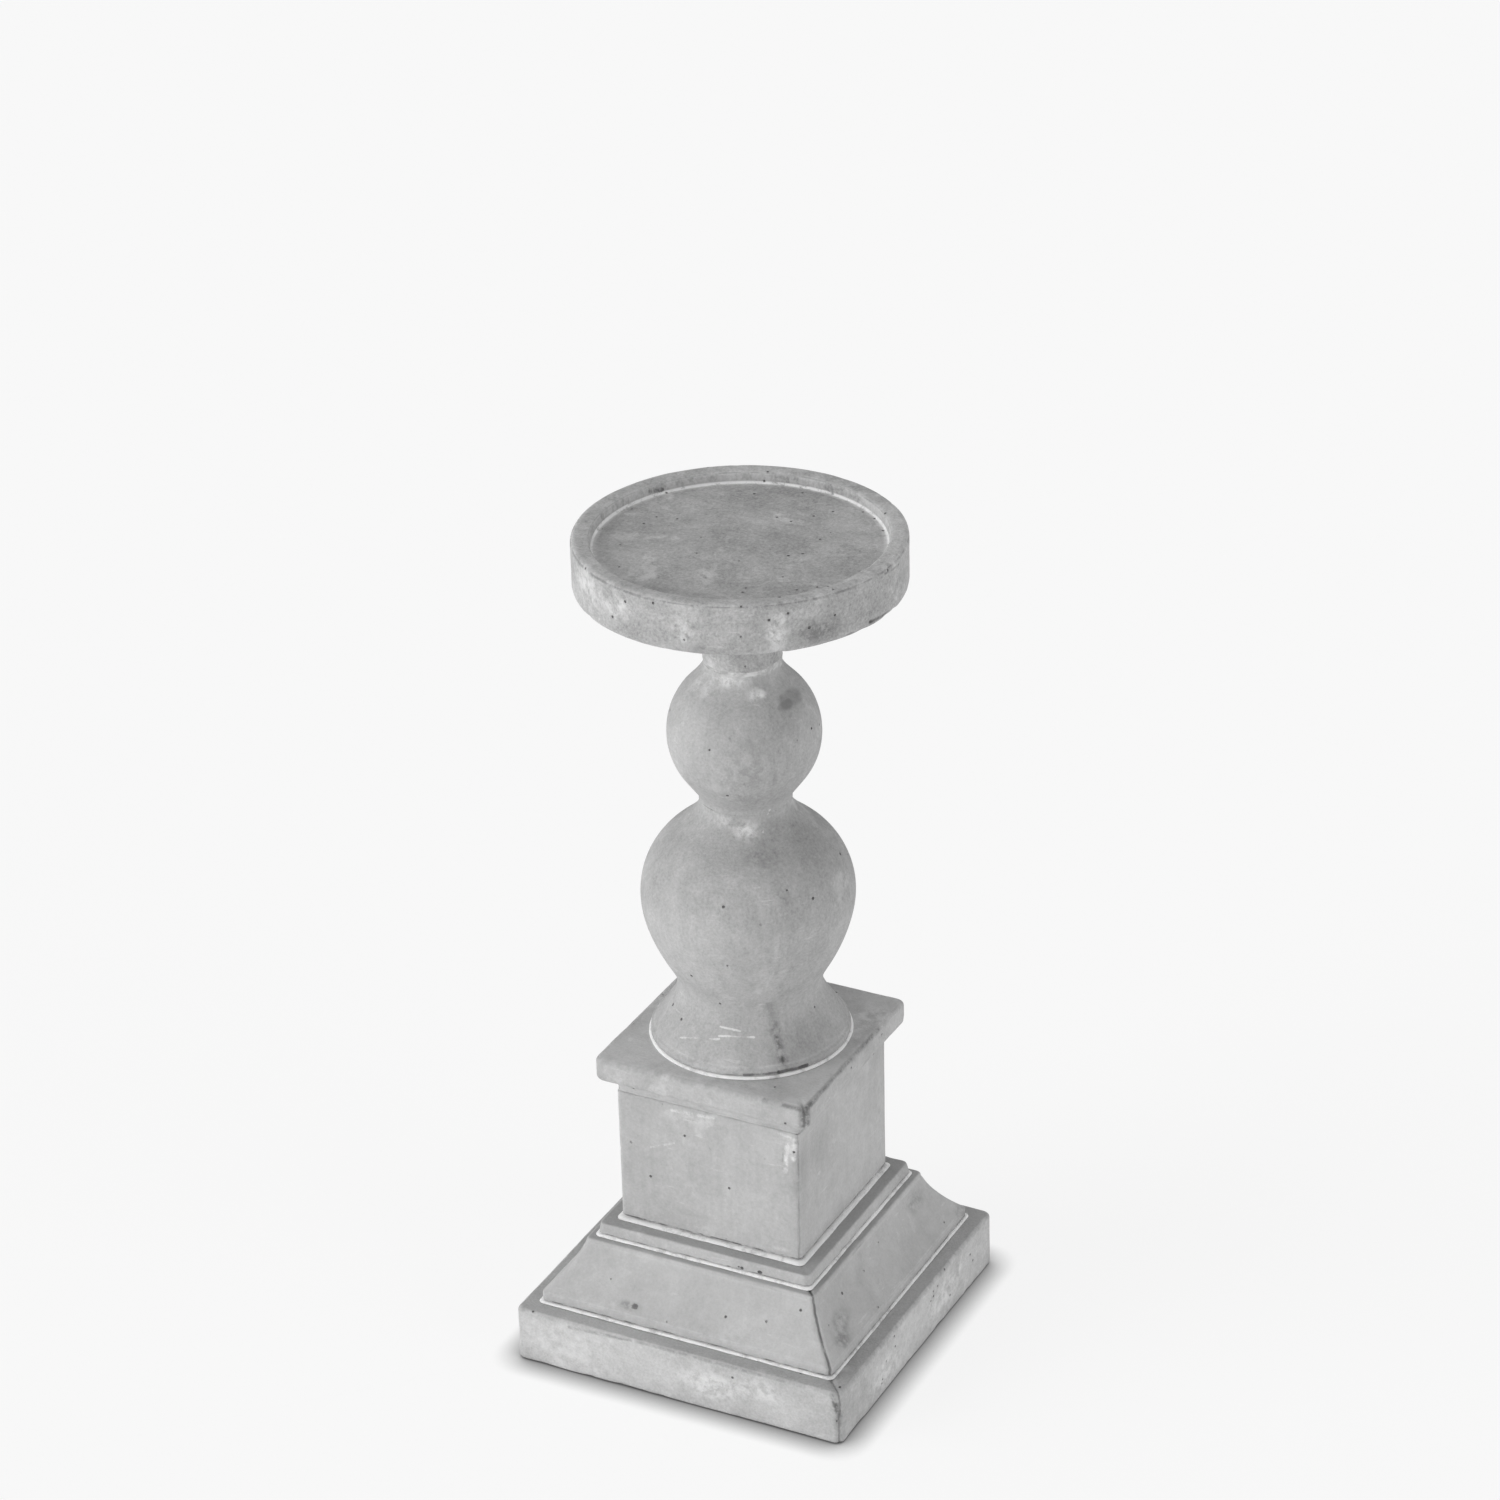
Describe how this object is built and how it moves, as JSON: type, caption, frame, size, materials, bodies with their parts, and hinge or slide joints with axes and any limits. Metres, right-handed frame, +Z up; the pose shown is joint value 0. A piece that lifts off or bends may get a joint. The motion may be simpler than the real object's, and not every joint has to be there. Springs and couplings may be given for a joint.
{
  "type": "stone pillar candle holder",
  "caption": "Cast-stone holder for a pillar candle: a shallow round dish on a turned ball and vase, over a square moulded pedestal.",
  "frame": {"origin": "middle of the base, on the surface that the holder stands on", "axes": "+Z up; +X and +Y square to the sides of the base; the front face looks along -Y"},
  "size_m": [0.152, 0.152, 0.3663],
  "materials": {
    "cast_stone": "matte cast concrete, clouded grey, fine pinholes",
    "mortar": "pale matte cement",
    "zinc_steel": "zinc-plated steel",
    "felt": "dense dark felt"
  },
  "bodies": {
    "root": {"plinth_slab": "cast_stone", "base_ogee": "cast_stone", "base_step": "cast_stone", "pedestal_die": "cast_stone", "pedestal_cap": "cast_stone", "baluster_vase": "cast_stone", "baluster_ball": "cast_stone", "candle_dish": "cast_stone", "mortar_ogee_plinth": "mortar", "mortar_step_ogee": "mortar", "mortar_die_step": "mortar", "mortar_cap_die": "mortar", "mortar_vase_cap": "mortar", "mortar_ball_vase": "mortar", "mortar_dish_ball": "mortar", "tie_rod": "zinc_steel", "threaded_socket": "zinc_steel", "rod_washer": "zinc_steel", "rod_nut": "zinc_steel", "felt_pad_front_left": "felt", "felt_pad_front_right": "felt", "felt_pad_back_right": "felt", "felt_pad_back_left": "felt"}
  },
  "joints": []
}
